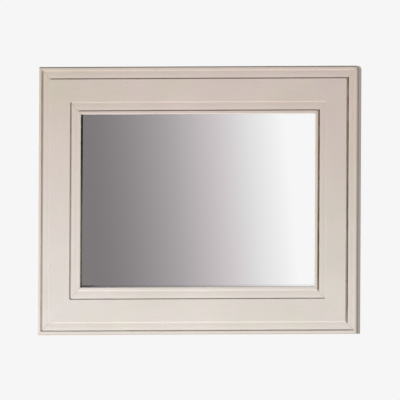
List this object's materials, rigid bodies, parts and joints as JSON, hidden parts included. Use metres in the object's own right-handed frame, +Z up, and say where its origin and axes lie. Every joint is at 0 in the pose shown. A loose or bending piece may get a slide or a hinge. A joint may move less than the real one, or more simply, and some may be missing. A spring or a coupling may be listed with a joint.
{
  "type": "wall mirror",
  "caption": "Landscape wall mirror in a wide mitred painted frame with sunk beads and a flat frieze; turn buttons hold the back, ring hangers carry it.",
  "frame": {"origin": "middle of the bottom edge, at half the frame's depth", "axes": "+X the viewer's right, -Y the front of the mirror, +Z up"},
  "size_m": [1.2, 0.029, 0.9],
  "materials": {
    "frame_paint": "off-white eggshell paint, lightly toned brown in the quirks",
    "beech": "pressed, raw",
    "mirror": "polished, silvered",
    "foam_tape": "matte",
    "card": "matte",
    "hardboard": "smooth face",
    "zinc_steel": "bright zinc plate",
    "screw_steel": "yellow zinc plate",
    "bumper_rubber": "matte"
  },
  "bodies": {
    "frame": {"outer_moulding_top": "frame_paint", "inner_moulding_top": "frame_paint", "glazing_tape_top": "foam_tape", "outer_moulding_bottom": "frame_paint", "inner_moulding_bottom": "frame_paint", "glazing_tape_bottom": "foam_tape", "outer_moulding_left": "frame_paint", "inner_moulding_left": "frame_paint", "glazing_tape_left": "foam_tape", "outer_moulding_right": "frame_paint", "inner_moulding_right": "frame_paint", "glazing_tape_right": "foam_tape", "top_rail": "frame_paint", "bottom_rail": "frame_paint", "left_stile": "frame_paint", "right_stile": "frame_paint", "mitre_biscuit_top_left": "beech", "corner_plate_top_left": "zinc_steel", "wall_bumper_top_left": "bumper_rubber", "mitre_biscuit_top_right": "beech", "corner_plate_top_right": "zinc_steel", "wall_bumper_top_right": "bumper_rubber", "mitre_biscuit_bottom_left": "beech", "corner_plate_bottom_left": "zinc_steel", "wall_bumper_bottom_left": "bumper_rubber", "mitre_biscuit_bottom_right": "beech", "corner_plate_bottom_right": "zinc_steel", "wall_bumper_bottom_right": "bumper_rubber", "mirror_pane": "mirror", "card_sheet": "card", "back_panel": "hardboard", "hanger_plate_left": "zinc_steel", "hanger_plate_right": "zinc_steel", "corner_plate_screws": "screw_steel", "turn_button_screws": "screw_steel", "hanger_screws": "screw_steel"},
    "turn_button_top_left": {"turn_button_top_left": "zinc_steel"},
    "turn_button_top_middle": {"turn_button_top_middle": "zinc_steel"},
    "turn_button_top_right": {"turn_button_top_right": "zinc_steel"},
    "turn_button_bottom_left": {"turn_button_bottom_left": "zinc_steel"},
    "turn_button_bottom_middle": {"turn_button_bottom_middle": "zinc_steel"},
    "turn_button_bottom_right": {"turn_button_bottom_right": "zinc_steel"},
    "turn_button_left_upper": {"turn_button_left_upper": "zinc_steel"},
    "turn_button_left_lower": {"turn_button_left_lower": "zinc_steel"},
    "turn_button_right_upper": {"turn_button_right_upper": "zinc_steel"},
    "turn_button_right_lower": {"turn_button_right_lower": "zinc_steel"},
    "hanger_ring_left": {"hanger_ring_left": "zinc_steel"},
    "hanger_ring_right": {"hanger_ring_right": "zinc_steel"}
  },
  "joints": [
    {"name": "turn_button_top_left_turn", "type": "hinge", "parent": "frame", "child": "turn_button_top_left", "pos_m": [-0.3, 0.00545, 0.759], "axis": [0, 1, 0], "continuous": true},
    {"name": "turn_button_top_middle_turn", "type": "hinge", "parent": "frame", "child": "turn_button_top_middle", "pos_m": [0, 0.00545, 0.759], "axis": [0, 1, 0], "continuous": true},
    {"name": "turn_button_top_right_turn", "type": "hinge", "parent": "frame", "child": "turn_button_top_right", "pos_m": [0.3, 0.00545, 0.759], "axis": [0, 1, 0], "continuous": true},
    {"name": "turn_button_bottom_left_turn", "type": "hinge", "parent": "frame", "child": "turn_button_bottom_left", "pos_m": [-0.3, 0.00545, 0.141], "axis": [0, 1, 0], "continuous": true},
    {"name": "turn_button_bottom_middle_turn", "type": "hinge", "parent": "frame", "child": "turn_button_bottom_middle", "pos_m": [0, 0.00545, 0.141], "axis": [0, 1, 0], "continuous": true},
    {"name": "turn_button_bottom_right_turn", "type": "hinge", "parent": "frame", "child": "turn_button_bottom_right", "pos_m": [0.3, 0.00545, 0.141], "axis": [0, 1, 0], "continuous": true},
    {"name": "turn_button_left_upper_turn", "type": "hinge", "parent": "frame", "child": "turn_button_left_upper", "pos_m": [-0.459, 0.00545, 0.6], "axis": [0, 1, 0], "continuous": true},
    {"name": "turn_button_left_lower_turn", "type": "hinge", "parent": "frame", "child": "turn_button_left_lower", "pos_m": [-0.459, 0.00545, 0.3], "axis": [0, 1, 0], "continuous": true},
    {"name": "turn_button_right_upper_turn", "type": "hinge", "parent": "frame", "child": "turn_button_right_upper", "pos_m": [0.459, 0.00545, 0.6], "axis": [0, 1, 0], "continuous": true},
    {"name": "turn_button_right_lower_turn", "type": "hinge", "parent": "frame", "child": "turn_button_right_lower", "pos_m": [0.459, 0.00545, 0.3], "axis": [0, 1, 0], "continuous": true},
    {"name": "hanger_ring_left_swing", "type": "hinge", "parent": "frame", "child": "hanger_ring_left", "pos_m": [-0.51975, 0.0076, 0.7], "axis": [-1, 0, 0], "range_deg": [-3, 176]},
    {"name": "hanger_ring_right_swing", "type": "hinge", "parent": "frame", "child": "hanger_ring_right", "pos_m": [0.51975, 0.0076, 0.7], "axis": [-1, 0, 0], "range_deg": [-3, 176]}
  ]
}
